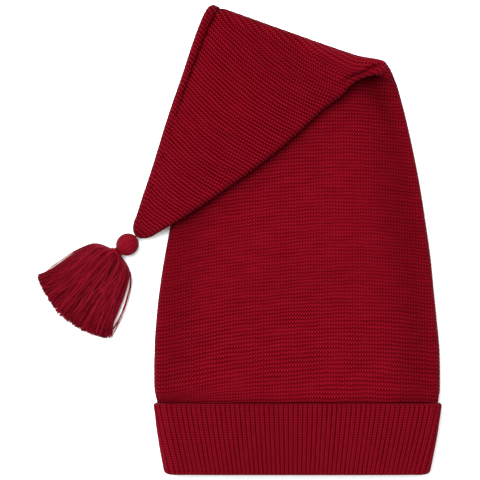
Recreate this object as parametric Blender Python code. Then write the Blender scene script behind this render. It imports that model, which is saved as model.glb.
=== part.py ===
"""A knitted stocking hat for a baby, lying flat with its tip folded over.

Metres, +Z up. The hat rests on z = 0 with its mouth towards -Y. The origin is on the
underside of the crown, where it lies flat on the surface. Lengths along the hat are
measured on the unfolded hat, from the mouth to the tip.
"""

import bpy
import bmesh
from math import acos, cos, exp, pi, radians, sin, sqrt, tan
from mathutils import Vector

# Hat
HAT_LENGTH = 0.4605
HALF_WIDTH = 0.0944
WALL = 0.0022
ORIGIN_UP = 0.120
CLEARANCE = 0.0003

# Flattened tube
MOUTH_THICKNESS = 0.0130
FOLD_THICKNESS = 0.0074
PUFF = 0.0016
EDGE_TROUGH = 0.0007
EDGE_TROUGH_IN = 0.005
TIP_ROUND = 0.009

# Brim, turned up
CUFF_HEIGHT = 0.047
CUFF_LAYER = 0.0025
CUFF_SPACE = 0.0005
CUFF_OVERLAP = 0.006
CUFF_FADE = 0.024
RIB_COUNT = 120
RIB_DEPTH = 0.0009

# Fold
FOLD_REACH = 0.2743
FOLD_ANGLE = radians(19.6)
FOLD_RADIUS = 0.0085
CORNER_GROWTH = 0.003
CORNER_REACH = 0.0025
FLAP_GAP = 0.0010
FLAP_SETTLE = 0.035
DROOP_OUT = 0.026
DROOP_IN = 0.006

# Tassel
HEAD_LENGTH = 0.0152
HEAD_WIDTH = 0.0142
NECK_RADIUS = 0.0032
NECK_LENGTH = 0.0022
NECK_OUT_SHARE = 0.65
NECK_SINK_SHARE = 0.06
SKIRT_LENGTH = 0.0565
SKIRT_WIDTH = 0.0645
SKIRT_DEPTH = 0.012
HEAD_ANGLE = radians(1.0)
NECK_ANGLE = radians(-14.4)
SKIRT_ANGLE = radians(2.5)
LOCK_COUNT = 14
LOCK_DEPTH = 0.0007
LOCK_STAGGER = 0.0012
BINDING_WIDTH = 0.0016
BINDING_DEPTH = 0.0009

# Mesh steps
FLAT_STEPS = 12
ROLL_STEPS = 4
BEND_STEPS = 8
TASSEL_STEPS = 42

# Unfolded outline: share of HAT_LENGTH up from the mouth, then the left and the right
# edge as shares of HALF_WIDTH
OUTLINE = (
    # up, left, right
    (0.000, -0.899, 0.899),
    (0.060, -0.950, 0.956),
    (0.100, -0.976, 0.985),
    (0.125, -1.000, 1.003),
    (0.180, -1.000, 1.003),
    (0.223, -0.988, 0.985),
    (0.270, -0.962, 0.961),
    (0.315, -0.928, 0.938),
    (0.362, -0.884, 0.903),
    (0.430, -0.829, 0.846),
    (0.500, -0.769, 0.775),
    (0.556, -0.715, 0.706),
    (0.580, -0.694, 0.666),
    (0.600, -0.676, 0.606),
    (0.620, -0.660, 0.560),
    (0.640, -0.645, 0.522),
    (0.665, -0.622, 0.500),
    (0.696, -0.592, 0.470),
    (0.736, -0.529, 0.442),
    (0.779, -0.450, 0.404),
    (0.815, -0.387, 0.364),
    (0.856, -0.310, 0.310),
    (0.911, -0.202, 0.231),
    (0.952, -0.127, 0.162),
    (0.978, -0.077, 0.115),
    (1.000, -0.055, 0.080),
)

# Flattened thickness between FOLD_THICKNESS (0) and MOUTH_THICKNESS (1), and the puff of
# the upper and the under side as shares of PUFF
FULLNESS = (
    # up, thickness, upper puff, under puff
    (0.000, 1.00, 0.30, 0.0),
    (0.100, 1.00, 0.35, 0.0),
    (0.160, 0.85, 0.80, 0.0),
    (0.240, 0.66, 1.00, 0.0),
    (0.350, 0.40, 0.80, 0.0),
    (0.460, 0.16, 0.45, 0.0),
    (0.550, 0.00, 0.15, 0.0),
    (0.650, 0.00, 0.10, 0.0),
    (0.720, 0.00, 0.20, 0.5),
    (0.820, 0.00, 0.20, 0.6),
    (0.920, 0.00, 0.10, 0.3),
    (1.000, 0.00, 0.00, 0.0),
)

# Where rings of the mesh lie between the crown's lower edge (0) and the fold (1), and
# between the fold (0) and the round of the tip (1)
RINGS_BELOW_FOLD = (0.0, 0.03, 0.06, 0.09, 0.13, 0.21, 0.29, 0.37, 0.45, 0.53, 0.61, 0.69,
                    0.77, 0.84, 0.90, 0.95)
RINGS_PAST_FOLD = (0.04, 0.09, 0.15, 0.22, 0.29, 0.37, 0.45, 0.53, 0.61, 0.69, 0.77, 0.84,
                   0.90, 0.95, 1.0)
RINGS_ROUND_TIP = (0.45, 0.75, 0.93)

# Skirt of the tassel: share of its length, then half width and half depth as shares of
# half of SKIRT_WIDTH and half of SKIRT_DEPTH
SKIRT = (
    # along, width, depth
    (0.04, 0.27, 0.82),
    (0.09, 0.43, 0.98),
    (0.20, 0.54, 1.00),
    (0.38, 0.68, 0.94),
    (0.58, 0.80, 0.82),
    (0.80, 0.89, 0.68),
    (1.00, 1.00, 0.52),
)


def row_value(table, column, share):
    """Read a column of a table at a share, smoothly between its rows."""
    rows = [row[0] for row in table]
    values = [row[column] for row in table]
    if share <= rows[0]:
        return values[0]
    if share >= rows[-1]:
        return values[-1]
    upper = next(index for index, row in enumerate(rows) if row > share)
    lower = upper - 1

    def slope(index):
        before = max(index - 1, 0)
        after = min(index + 1, len(rows) - 1)
        return (values[after] - values[before]) / (rows[after] - rows[before])

    width = rows[upper] - rows[lower]
    t = (share - rows[lower]) / width
    start = values[lower] * (1 - 3 * t * t + 2 * t ** 3)
    end = values[upper] * (3 * t * t - 2 * t ** 3)
    leaving = slope(lower) * width * (t - 2 * t * t + t ** 3)
    arriving = slope(upper) * width * (t ** 3 - t * t)
    return start + end + leaving + arriving


def ease(value):
    """Rise smoothly from 0 to 1 while the value does."""
    value = min(max(value, 0.0), 1.0)
    return value * value * (3 - 2 * value)


# Unfolded hat


def tip_scale(up):
    """Share of the width and thickness left at a height, round the tip."""
    inside = (up - (HAT_LENGTH - TIP_ROUND)) / TIP_ROUND
    if inside <= 0:
        return 1.0
    return sqrt(max(1 - inside * inside, 0.0))


def edge_at(up, column):
    """Left (1) or right (2) edge of the unfolded hat at a height."""
    share = up / HAT_LENGTH
    left = row_value(OUTLINE, 1, share) * HALF_WIDTH
    right = row_value(OUTLINE, 2, share) * HALF_WIDTH
    middle = (left + right) / 2
    half = (right - left) / 2 * tip_scale(up)
    return middle - half if column == 1 else middle + half


def middle_at(up):
    return (edge_at(up, 1) + edge_at(up, 2)) / 2


def thickness_at(up):
    fullness = row_value(FULLNESS, 1, up / HAT_LENGTH)
    whole = FOLD_THICKNESS + (MOUTH_THICKNESS - FOLD_THICKNESS) * max(fullness, 0.0)
    return whole * tip_scale(up)


def fullness_at(up, column):
    return row_value(FULLNESS, column, up / HAT_LENGTH)


def floor_at(up):
    """Height of the crown's underside: the cuff's outer layer holds it up."""
    raised = CUFF_LAYER + CUFF_SPACE
    past = (up - CUFF_HEIGHT - CLEARANCE) / CUFF_FADE
    sunk = (FOLD_THICKNESS - thickness_at(up)) / 2 if tip_scale(up) < 1 else 0.0
    return raised * (1 - ease(past)) + sunk


def bulge(share, width, fullness):
    """Rise of a side above the height of its rolled edges, with a dip beside each."""
    across = 1 - (2 * share - 1) ** 2
    near = min(share, 1 - share) * width / EDGE_TROUGH_IN
    return fullness * (PUFF * across - EDGE_TROUGH * near * exp(1 - near))


def fold_tilt_at(up):
    """Tilt of a ring of the mesh, which follows the fold where it crosses it."""
    start = CUFF_HEIGHT + CUFF_FADE
    fold = fold_start_up()
    if up < fold:
        return FOLD_ANGLE * ease((up - start) / (fold * 0.9 - start))
    past = fold_end_up()
    return FOLD_ANGLE * (1 - ease((up - past * 1.05) / (HAT_LENGTH - past * 1.05)))


def ring_frame(up, tilt):
    """Ends of a ring's line across the unfolded hat."""
    middle = middle_at(up)
    ends = []
    for column in (1, 2):
        x = edge_at(up, column)
        for _ in range(12):
            y = up - tan(tilt) * (x - middle)
            x = (x + edge_at(min(y, HAT_LENGTH), column)) / 2
        ends.append(Vector((x, up - tan(tilt) * (x - middle))))
    return ends[0], ends[1]


def ring_points(up, tilt, offset, flat_steps, roll_steps):
    """One loop round the flattened tube, set out by an offset from its outer face."""
    left, right = ring_frame(up, tilt)
    direction = (right - left).normalized()
    roll_left = thickness_at(left.y) / 2
    roll_right = thickness_at(right.y) / 2
    flat = (right - left).length - roll_left - roll_right
    points = []

    def place(along, height):
        spot = left + direction * along
        points.append(Vector((spot.x, spot.y, height)))

    def roll(end, radius, along, side):
        for step in range(roll_steps):
            turn = pi * step / roll_steps
            reach = (radius + offset) * sin(turn)
            lift = radius - (radius + offset) * cos(turn) * side
            place(along + side * reach, floor_at(end.y) + lift)

    for step in range(flat_steps):
        share = step / flat_steps
        along = roll_left + flat * share
        y = left.y + direction.y * along
        sag = bulge(share, flat, fullness_at(y, 3))
        place(along, floor_at(y) - sag - offset)
    roll(right, roll_right, roll_left + flat, 1)
    for step in range(flat_steps):
        share = 1 - step / flat_steps
        along = roll_left + flat * share
        y = left.y + direction.y * along
        rise = bulge(share, flat, fullness_at(y, 2))
        place(along, floor_at(y) + thickness_at(y) + rise + offset)
    roll(left, roll_left, roll_left, -1)
    return points


# Fold


def bend_radius(across):
    """Outer radius of the fold, which opens into a rolled corner at its right end."""
    right_half = HALF_WIDTH * 0.65
    return FOLD_RADIUS + CORNER_GROWTH * ease((across - right_half * 0.15) / right_half)


def fold_reach(across):
    """How far the fold's outer edge lies up the hat, which swells at the right corner."""
    right_half = HALF_WIDTH * 0.65
    return FOLD_REACH + CORNER_REACH * ease((across - right_half * 0.65) / (right_half * 0.35))


def across_fold(x, y):
    """Distance along the fold's line from the middle of the hat."""
    up = fold_start_up()
    centre = middle_at(up)
    return (x - centre) * cos(FOLD_ANGLE) - (y - up) * sin(FOLD_ANGLE)


def neutral_radius(radius):
    return radius - FOLD_THICKNESS / 2


def fold_start_up():
    """Height on the middle line where the fold begins."""
    return (FOLD_REACH - FOLD_RADIUS) / cos(FOLD_ANGLE)


def fold_end_up():
    return fold_start_up() + pi * neutral_radius(FOLD_RADIUS) / cos(FOLD_ANGLE)


def surface_under_flap(x, y):
    """Height that the flap lies on: the body, and past its left edge the floor."""
    up = min(max(y, 0.0), HAT_LENGTH)
    left = edge_at(up, 1)
    right = edge_at(up, 2)
    share = min(max((x - left) / (right - left), 0.0), 1.0)
    rise = fullness_at(up, 2) * PUFF * (1 - (2 * share - 1) ** 2)
    carried = ease((x - left + DROOP_OUT) / (DROOP_OUT + DROOP_IN))
    return (floor_at(up) + thickness_at(up) + rise + FLAP_GAP) * carried


def fold_over(point):
    """Take a point of the unfolded hat to its place on the folded one."""
    x, y, height = point
    line = Vector((cos(FOLD_ANGLE), -sin(FOLD_ANGLE)))
    outward = Vector((sin(FOLD_ANGLE), cos(FOLD_ANGLE)))
    flat = Vector((x, y))
    across = across_fold(x, y)
    radius = bend_radius(across)
    start = fold_reach(across) - radius
    past = flat.dot(outward) - start
    if past <= 0:
        return Vector((x, y - ORIGIN_UP, height))
    bend = pi * neutral_radius(radius)
    if past < bend:
        angle = past / neutral_radius(radius)
        reach = (radius - height) * sin(angle)
        lift = radius - (radius - height) * cos(angle)
        spot = line * flat.dot(line) + outward * (start + reach)
        return Vector((spot.x, spot.y - ORIGIN_UP, lift))
    beyond = past - bend
    spot = line * flat.dot(line) + outward * (start - beyond)
    depth = FOLD_THICKNESS + fullness_at(y, 2) * PUFF
    settled = ease(beyond / FLAP_SETTLE)
    resting = max(surface_under_flap(spot.x, spot.y), CLEARANCE)
    under = (2 * radius - depth) * (1 - settled) + resting * settled
    return Vector((spot.x, spot.y - ORIGIN_UP, under + depth - height))


# Meshes


def new_object(name, collection, build, material):
    """Make a closed mesh from a function that fills a bmesh."""
    mesh = bpy.data.meshes.new(name)
    body = bmesh.new()
    build(body)
    bmesh.ops.recalc_face_normals(body, faces=body.faces)
    if body.calc_volume(signed=True) < 0:
        bmesh.ops.reverse_faces(body, faces=body.faces)
    body.to_mesh(mesh)
    body.free()
    mesh.shade_smooth()
    mesh.materials.append(material)
    made = bpy.data.objects.new(name, mesh)
    collection.objects.link(made)
    return made


def add_loop(body, points):
    return [body.verts.new(point) for point in points]


def join_loops(body, first, second):
    """Close the band between two loops of the same length."""
    count = len(first)
    for index in range(count):
        after = (index + 1) % count
        body.faces.new((first[index], first[after], second[after], second[index]))


def close_loop(body, loop, point):
    """Close a loop to one point."""
    apex = body.verts.new(point)
    for index, vertex in enumerate(loop):
        body.faces.new((vertex, loop[(index + 1) % len(loop)], apex))


def knit_material(name, colour, roughness):
    material = bpy.data.materials.new(name)
    material.use_nodes = True
    shader = material.node_tree.nodes["Principled BSDF"]
    shader.inputs["Base Color"].default_value = (*colour, 1.0)
    shader.inputs["Roughness"].default_value = roughness
    shader.inputs["Metallic"].default_value = 0.0
    return material


# Crown


def crown_rings():
    """Heights of the crown's rings on the middle line, from its lower edge to the tip."""
    lower = CUFF_HEIGHT - CUFF_OVERLAP
    start = fold_start_up()
    end = fold_end_up()
    top = HAT_LENGTH - TIP_ROUND
    rings = [lower + (start - lower) * share for share in RINGS_BELOW_FOLD]
    rings += [start + (end - start) * step / BEND_STEPS for step in range(BEND_STEPS + 1)]
    rings += [end + (top - end) * share for share in RINGS_PAST_FOLD]
    return rings


def build_crown(body):
    outer = []
    inner = []
    for up in crown_rings():
        tilt = fold_tilt_at(up)
        for loops, offset in ((outer, 0.0), (inner, -WALL)):
            points = ring_points(up, tilt, offset, FLAT_STEPS, ROLL_STEPS)
            loops.append(add_loop(body, [fold_over(point) for point in points]))
    for share in RINGS_ROUND_TIP:
        up = HAT_LENGTH - TIP_ROUND * (1 - share)
        points = ring_points(up, 0.0, 0.0, FLAT_STEPS, ROLL_STEPS)
        outer.append(add_loop(body, [fold_over(point) for point in points]))
    join_loops(body, outer[0], inner[0])
    for loops in (outer, inner):
        for first, second in zip(loops, loops[1:]):
            join_loops(body, first, second)
    middle = FOLD_THICKNESS / 2
    close_loop(body, outer[-1], fold_over((middle_at(HAT_LENGTH), HAT_LENGTH, middle)))
    inner_top = HAT_LENGTH - TIP_ROUND + WALL
    close_loop(body, inner[-1], fold_over((middle_at(inner_top), inner_top, middle)))


# Cuff


def cuff_samples():
    """Steps across each flat side and round each rolled edge, two for each rib."""
    girth = 4 * HALF_WIDTH
    rolled = pi * MOUTH_THICKNESS / 2
    roll_ribs = max(round(RIB_COUNT * rolled / girth), 2)
    flat_ribs = max(round(RIB_COUNT / 2) - roll_ribs, 4)
    return 2 * flat_ribs, 2 * roll_ribs


def cuff_loop(up, offset, ribbed):
    """One loop of the cuff, with every other column set in by the ribs' depth."""
    flat_steps, roll_steps = cuff_samples()
    crest = ring_points(up, 0.0, offset, flat_steps, roll_steps)
    if not ribbed:
        return crest
    valley = ring_points(up, 0.0, offset - RIB_DEPTH, flat_steps, roll_steps)
    return [low if index % 2 else high for index, (high, low) in enumerate(zip(crest, valley))]


def build_cuff(body):
    """A ribbed band turned up on itself: two layers, joined at the hat's mouth."""
    inner_top = CUFF_HEIGHT - CUFF_OVERLAP - CLEARANCE
    outside = CUFF_SPACE + CUFF_LAYER
    turn = CUFF_LAYER
    profile = (
        # height, offset, ribbed
        (inner_top, -WALL, False),
        (turn, -WALL, False),
        (0.0, (outside - WALL) / 2, True),
        (turn * 0.8, outside, True),
        (CUFF_HEIGHT - CUFF_LAYER * 0.4, outside, True),
        (CUFF_HEIGHT, outside - CUFF_LAYER * 0.35, False),
        (CUFF_HEIGHT, CUFF_SPACE, False),
        (turn, CUFF_SPACE, False),
        (turn, 0.0, False),
        (inner_top, 0.0, False),
    )
    loops = []
    for up, offset, ribbed in profile:
        points = cuff_loop(up, offset, ribbed)
        loops.append(add_loop(body, [Vector((p.x, p.y - ORIGIN_UP, p.z)) for p in points]))
    for first, second in zip(loops, loops[1:] + loops[:1]):
        join_loops(body, first, second)


# Tassel


def tip_pose():
    """Centre of the tip's round on the folded hat, and the way that the tip points."""
    back_up = HAT_LENGTH - TIP_ROUND
    middle = FOLD_THICKNESS / 2
    roll = fold_over((middle_at(HAT_LENGTH), HAT_LENGTH - middle, middle))
    back = fold_over((middle_at(back_up), back_up - TIP_ROUND, middle))
    heading = (roll - back).to_2d().normalized()
    return roll, heading


def turned(heading, angle):
    return Vector((heading.x * cos(angle) - heading.y * sin(angle),
                   heading.x * sin(angle) + heading.y * cos(angle)))


def head_centre():
    """The head lies on the surface and touches the round of the hat's tip."""
    roll, heading = tip_pose()
    head = HEAD_LENGTH / 2
    round_radius = FOLD_THICKNESS / 2
    apart = head + round_radius + CLEARANCE
    sideways = sqrt(apart ** 2 - (head - roll.z) ** 2)
    spot = roll.to_2d() + turned(heading, HEAD_ANGLE) * sideways
    return Vector((spot.x, spot.y, (HEAD_WIDTH + LOCK_DEPTH) / 2))


def tassel_axis():
    """Centre of the neck and the direction in which the skirt spreads."""
    _, heading = tip_pose()
    centre = head_centre()
    to_neck = turned(heading, NECK_ANGLE)
    neck = centre.to_2d() + to_neck * (HEAD_LENGTH / 2 + NECK_LENGTH * NECK_OUT_SHARE)
    return neck, turned(heading, SKIRT_ANGLE), to_neck


def neck_height():
    """The neck hangs a little between the head and the skirt, which lies lower."""
    return head_centre().z - HEAD_WIDTH * NECK_SINK_SHARE


def tassel_ring(spot, forward, half_width, half_depth, height, bow, stagger):
    """One ring of the tassel, with its locks standing out round it."""
    side = Vector((-forward.y, forward.x))
    points = []
    for step in range(TASSEL_STEPS):
        angle = 2 * pi * step / TASSEL_STEPS
        lock = cos(LOCK_COUNT * angle)
        grow = 1 + LOCK_DEPTH * lock / max(half_depth, half_width)
        across = half_width * cos(angle) * grow
        up = half_depth * sin(angle) + LOCK_DEPTH * lock * sin(angle)
        back = bow * (1 - sqrt(max(1 - (across / SKIRT_LENGTH) ** 2, 0.0))) * SKIRT_LENGTH
        along = forward * (stagger * lock - back) + side * across
        points.append(Vector((spot.x + along.x, spot.y + along.y, height + up)))
    return points


def build_tassel(body):
    neck, forward, to_neck = tassel_axis()
    centre = head_centre()
    rest = LOCK_DEPTH * 1.5
    loops = []
    half_length = HEAD_LENGTH / 2
    half_width = HEAD_WIDTH / 2
    neck_angle = pi - acos(sqrt(1 - (NECK_RADIUS / half_width) ** 2))
    head_steps = 8
    for step in range(1, head_steps + 1):
        angle = neck_angle * step / head_steps
        spot = centre.to_2d() - to_neck * half_length * cos(angle)
        radius = half_width * sin(angle) - LOCK_DEPTH * 0.5
        loops.append(tassel_ring(spot, to_neck, radius, radius, centre.z, 0.0, 0.0))
    for share in (-0.5, 0.5):
        spot = neck + forward * NECK_LENGTH * share
        core = NECK_RADIUS - LOCK_DEPTH
        loops.append(tassel_ring(spot, forward, core, core, neck_height(), 0.0, 0.0))
    for along, width, depth in SKIRT:
        spot = neck + forward * SKIRT_LENGTH * along
        wide = SKIRT_WIDTH / 2 * width
        deep = SKIRT_DEPTH / 2 * depth
        loops.append(tassel_ring(spot, forward, wide, deep, deep + rest, along, LOCK_STAGGER * along))
    made = [add_loop(body, points) for points in loops]
    for first, second in zip(made, made[1:]):
        join_loops(body, first, second)
    pole = centre.to_2d() - to_neck * half_length
    close_loop(body, made[0], Vector((pole.x, pole.y, centre.z)))
    last = made[-1]
    half = TASSEL_STEPS // 2
    for step in range(half):
        upper = (last[step], last[step + 1])
        lower = (last[(-step - 1) % TASSEL_STEPS], last[-step % TASSEL_STEPS])
        corners = list(dict.fromkeys((*upper, *lower)))
        body.faces.new(corners)


def build_binding(body):
    """A wound band round the tassel's neck, clear of it all round."""
    neck, forward, _ = tassel_axis()
    side = Vector((-forward.y, forward.x))
    height = neck_height()
    inner = NECK_RADIUS + CLEARANCE
    outer = inner + BINDING_DEPTH
    half = BINDING_WIDTH / 2
    profile = ((-half, inner), (-half * 0.6, outer), (half * 0.6, outer), (half, inner))
    steps = 24
    loops = []
    for along, radius in profile:
        points = []
        for step in range(steps):
            angle = 2 * pi * step / steps
            spot = neck + forward * along + side * radius * cos(angle)
            points.append(Vector((spot.x, spot.y, height + radius * sin(angle))))
        loops.append(add_loop(body, points))
    for first, second in zip(loops, loops[1:] + loops[:1]):
        join_loops(body, first, second)


def main():
    for thing in list(bpy.data.objects):
        bpy.data.objects.remove(thing)
    hat = bpy.data.collections.new("christmas_hat")
    bpy.context.scene.collection.children.link(hat)
    ridged = knit_material("ridged_knit", (0.216, 0.004, 0.010), 0.85)
    ribbed = knit_material("ribbed_knit", (0.191, 0.004, 0.010), 0.85)
    thread = knit_material("tassel_thread", (0.216, 0.006, 0.014), 0.55)
    new_object("crown", hat, build_crown, ridged)
    new_object("cuff", hat, build_cuff, ribbed)
    new_object("tassel", hat, build_tassel, thread)
    new_object("tassel_binding", hat, build_binding, thread)


main()
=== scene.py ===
import math

import bpy
import numpy as np
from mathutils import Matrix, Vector


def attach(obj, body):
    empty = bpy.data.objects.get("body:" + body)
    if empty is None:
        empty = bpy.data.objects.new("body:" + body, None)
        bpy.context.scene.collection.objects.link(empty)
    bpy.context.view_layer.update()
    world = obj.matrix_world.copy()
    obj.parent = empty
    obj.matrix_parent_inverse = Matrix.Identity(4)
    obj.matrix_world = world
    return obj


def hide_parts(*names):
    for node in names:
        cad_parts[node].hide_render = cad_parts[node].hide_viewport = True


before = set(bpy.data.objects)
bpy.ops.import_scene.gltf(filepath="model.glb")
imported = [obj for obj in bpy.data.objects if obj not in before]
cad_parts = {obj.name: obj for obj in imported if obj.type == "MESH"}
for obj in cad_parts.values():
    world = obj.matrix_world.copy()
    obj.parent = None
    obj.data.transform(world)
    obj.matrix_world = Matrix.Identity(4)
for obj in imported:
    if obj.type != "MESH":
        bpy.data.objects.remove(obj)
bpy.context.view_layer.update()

# The hat's form, unfolded and flattened, in metres from the mouth to the tip

hat = {
    "length": 0.4605,
    "halfWidth": 0.0944,
    "wall": 0.0022,
    "originUp": 0.120,  # the frame's origin lies this far up from the mouth
    "clearance": 0.0003,
    "mouthThickness": 0.0130,
    "foldThickness": 0.0074,
    "puff": 0.0016,
    "trough": 0.0007,
    "troughIn": 0.005,
    "tipRound": 0.009,
    "outline": (  # share of the length, left and right edge in half widths
        (0.000, -0.899, 0.899), (0.060, -0.950, 0.956), (0.100, -0.976, 0.985),
        (0.125, -1.000, 1.003), (0.180, -1.000, 1.003), (0.223, -0.988, 0.985),
        (0.270, -0.962, 0.961), (0.315, -0.928, 0.938), (0.362, -0.884, 0.903),
        (0.430, -0.829, 0.846), (0.500, -0.769, 0.775), (0.556, -0.715, 0.706),
        (0.580, -0.694, 0.666), (0.600, -0.676, 0.606), (0.620, -0.660, 0.560),
        (0.640, -0.645, 0.522), (0.665, -0.622, 0.500), (0.696, -0.592, 0.470),
        (0.736, -0.529, 0.442), (0.779, -0.450, 0.404), (0.815, -0.387, 0.364),
        (0.856, -0.310, 0.310), (0.911, -0.202, 0.231), (0.952, -0.127, 0.162),
        (0.978, -0.077, 0.115), (1.000, -0.055, 0.080),
    ),
    "fullness": (  # share of the length, thickness, upper puff, under puff
        (0.000, 1.00, 0.30, 0.0), (0.100, 1.00, 0.35, 0.0), (0.160, 0.85, 0.80, 0.0),
        (0.240, 0.66, 1.00, 0.0), (0.350, 0.40, 0.80, 0.0), (0.460, 0.16, 0.45, 0.0),
        (0.550, 0.00, 0.15, 0.0), (0.650, 0.00, 0.10, 0.0), (0.720, 0.00, 0.20, 0.5),
        (0.820, 0.00, 0.20, 0.6), (0.920, 0.00, 0.10, 0.3), (1.000, 0.00, 0.00, 0.0),
    ),
}

cuffForm = {
    "height": 0.047,
    "layer": 0.0025,
    "space": 0.0005,
    "overlap": 0.006,
    "fade": 0.024,
}

fold = {
    "reach": 0.2743,
    "tilt": math.radians(19.6),
    "radius": 0.0085,
    "halfShare": 0.65,  # half the width at the fold, in half widths
    "growthFrom": 0.15,
    "swellFrom": 0.65,
    "cornerGrowth": 0.003,
    "cornerReach": 0.0025,
    "flapGap": 0.0010,
    "settle": 0.035,
    "droopOut": 0.026,
    "droopIn": 0.006,
}

hatLength, foldDepth, tipRound = (hat[key] for key in ("length", "foldThickness", "tipRound"))
wall, originUp, clearance = (hat[key] for key in ("wall", "originUp", "clearance"))
cuffHeight = cuffForm["height"]
crownLower = cuffHeight - cuffForm["overlap"]


def ease(value):
    value = np.clip(value, 0, 1)
    return value * value * (3 - 2 * value)


def stepUp(value, start, width):  # from 0 to 1 across the width
    return ease((value - start) / width)


def hump(value, centre, spread):
    return np.exp(-((value - centre) / spread) ** 2)


def readTable(rows, up, column=1):
    table = np.array(rows)
    return np.interp(up, table[:, 0], table[:, column])


def smoothTable(rows, column):
    at = np.array([row[0] for row in rows])
    value = np.array([row[column] for row in rows])
    before = np.maximum(np.arange(len(at)) - 1, 0)
    after = np.minimum(np.arange(len(at)) + 1, len(at) - 1)
    slope = (value[after] - value[before]) / (at[after] - at[before])

    def read(share):
        share = np.clip(share, at[0], at[-1])
        upper = np.clip(np.searchsorted(at, share, side="right"), 1, len(at) - 1)
        lower = upper - 1
        width = at[upper] - at[lower]
        t = (share - at[lower]) / width
        start = value[lower] * (1 - 3 * t ** 2 + 2 * t ** 3)
        end = value[upper] * (3 * t ** 2 - 2 * t ** 3)
        leaving = slope[lower] * width * (t - 2 * t ** 2 + t ** 3)
        return start + end + leaving + slope[upper] * width * (t ** 3 - t ** 2)

    return read


leftShare, rightShare = (smoothTable(hat["outline"], column) for column in (1, 2))
thickShare, upperPuff, underPuff = (smoothTable(hat["fullness"], column) for column in (1, 2, 3))


def tipScale(up):
    inside = np.clip((up - hatLength) / tipRound + 1, 0, 1)
    return np.sqrt(1 - inside ** 2)


def edgesAt(up):
    left, right = (share(up / hatLength) * hat["halfWidth"] for share in (leftShare, rightShare))
    middle = (left + right) / 2
    half = (right - left) / 2 * tipScale(up)
    return middle - half, middle + half


def middleAt(up):
    return sum(edgesAt(up)) / 2


def thicknessAt(up):
    grown = hat["mouthThickness"] - foldDepth
    full = np.maximum(thickShare(up / hatLength), 0)
    return (foldDepth + grown * full) * tipScale(up)


def undersideAt(up):  # the cuff's outer layer holds the crown up
    past = stepUp(up, cuffHeight + clearance, cuffForm["fade"])
    sunk = np.where(tipScale(up) < 1, (foldDepth - thicknessAt(up)) / 2, 0)
    return (cuffForm["layer"] + cuffForm["space"]) * (1 - past) + sunk


def bulge(share, width, full):  # swell of a side, with a dip beside each rolled edge
    swell = 1 - (2 * share - 1) ** 2
    near = np.minimum(share, 1 - share) * width / hat["troughIn"]
    return full * (hat["puff"] * swell - hat["trough"] * near * np.exp(1 - near))


def surfaceUnderFlap(x, y):
    up = np.clip(y, 0, hatLength)
    left, right = edgesAt(up)
    share = np.clip((x - left) / np.maximum(right - left, 1e-6), 0, 1)
    rise = upperPuff(up / hatLength) * hat["puff"] * (1 - (2 * share - 1) ** 2)
    carried = stepUp(x, left - fold["droopOut"], fold["droopOut"] + fold["droopIn"])
    return (undersideAt(up) + thicknessAt(up) + rise + fold["flapGap"]) * carried


def foldOver(x, y, height):  # from the unfolded hat to its place on the folded one
    cosTilt = math.cos(fold["tilt"])
    sinTilt = math.sin(fold["tilt"])
    startUp = (fold["reach"] - fold["radius"]) / cosTilt
    across = (x - middleAt(startUp)) * cosTilt - (y - startUp) * sinTilt
    half = hat["halfWidth"] * fold["halfShare"]
    growth = stepUp(across, half * fold["growthFrom"], half)
    radius = fold["radius"] + fold["cornerGrowth"] * growth
    swell = stepUp(across, half * fold["swellFrom"], half * (1 - fold["swellFrom"]))
    start = fold["reach"] + fold["cornerReach"] * swell - radius
    alongLine = x * cosTilt - y * sinTilt
    past = x * sinTilt + y * cosTilt - start
    neutral = radius - foldDepth / 2
    angle = np.clip(past / neutral, 0, math.pi)
    beyond = np.maximum(past - math.pi * neutral, 0)
    outward = start + (radius - height) * np.sin(angle) - beyond
    lift = radius - (radius - height) * np.cos(angle)
    foldedX = alongLine * cosTilt + outward * sinTilt
    foldedY = -alongLine * sinTilt + outward * cosTilt
    depth = foldDepth + upperPuff(y / hatLength) * hat["puff"]
    settled = ease(beyond / fold["settle"])
    resting = np.maximum(surfaceUnderFlap(foldedX, foldedY), clearance)
    flapZ = (2 * radius - depth) * (1 - settled) + resting * settled + depth - height
    flat = past <= 0
    outX = np.where(flat, x, foldedX)
    outY = np.where(flat, y, foldedY) - originUp
    return outX, outY, np.where(flat, height, np.where(beyond > 0, flapZ, lift))


def tubeFaces(rings, columns, first=0):
    ring = np.arange(rings - 1)[:, None] * columns + first
    column = np.arange(columns)[None, :]
    after = (column + 1) % columns
    corners = (ring + column, ring + after, ring + columns + after, ring + columns + column)
    return np.stack(corners, axis=-1).reshape(-1, 4)


def faceCorners(starts, ends):  # where each face's four corners lie in the knitting
    return np.stack((starts[:-1], ends[:-1], ends[1:], starts[1:]), axis=2).reshape(-1, 4, 2)


# Meshes and node trees


def addObject(name, data):
    thing = bpy.data.objects.new(name, data)
    bpy.context.scene.collection.objects.link(thing)
    return thing


def meshFromGrid(name, places, faces, corners=None, pointValues=None):
    mesh = bpy.data.meshes.new(name)
    mesh.from_pydata(places.tolist(), [], faces)
    if corners is not None:
        layer = mesh.uv_layers.new(name="knit")
        layer.data.foreach_set("uv", corners.astype(np.float32).ravel())
    for label, values in (pointValues or {}).items():
        attribute = mesh.attributes.new(label, "FLOAT", "POINT")
        attribute.data.foreach_set("value", values.astype(np.float32).ravel())
    mesh.validate()
    mesh.shade_smooth()
    return addObject(name, mesh)


def joining(operation, turnedRound=False):  # what an arithmetic sign does to a socket
    def apply(self, other):
        return self.wire.math(operation, *((other, self) if turnedRound else (self, other)))

    return apply


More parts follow.
